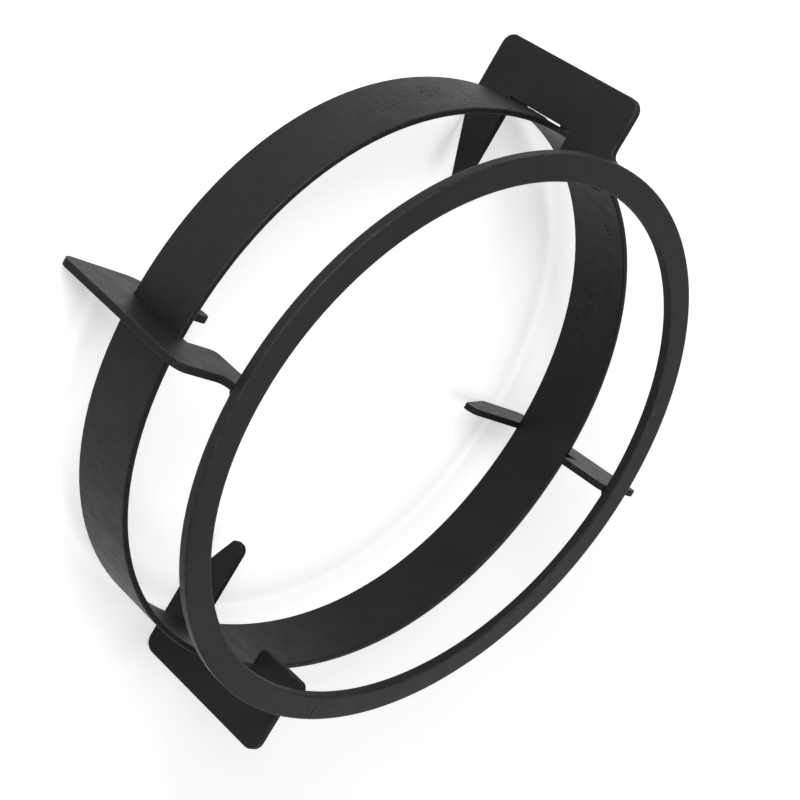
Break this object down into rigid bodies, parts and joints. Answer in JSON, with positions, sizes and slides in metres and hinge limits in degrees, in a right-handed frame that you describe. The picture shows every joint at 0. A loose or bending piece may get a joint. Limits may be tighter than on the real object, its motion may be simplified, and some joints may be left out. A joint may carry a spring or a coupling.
{
  "type": "wok ring",
  "caption": "Black painted steel wok ring: a flat top ring and a wide band joined by upright slotted plates, to hold a round-bottomed pan over a burner.",
  "frame": {"origin": "on the ring's axis, at the level of the plates' lower edges", "axes": "+Z along the ring's axis from the plates' lower edges to the top ring, +X along support_plate_1"},
  "size_m": [0.3044, 0.3044, 0.0868],
  "materials": {
    "band_paint": "satin black paint",
    "top_ring_paint": "satin black paint",
    "plate_paint": "satin black paint"
  },
  "bodies": {
    "root": {"band_ring": "band_paint", "top_ring": "top_ring_paint", "support_plate_1": "plate_paint", "support_plate_2": "plate_paint", "support_plate_3": "plate_paint", "support_plate_4": "plate_paint"}
  },
  "joints": []
}
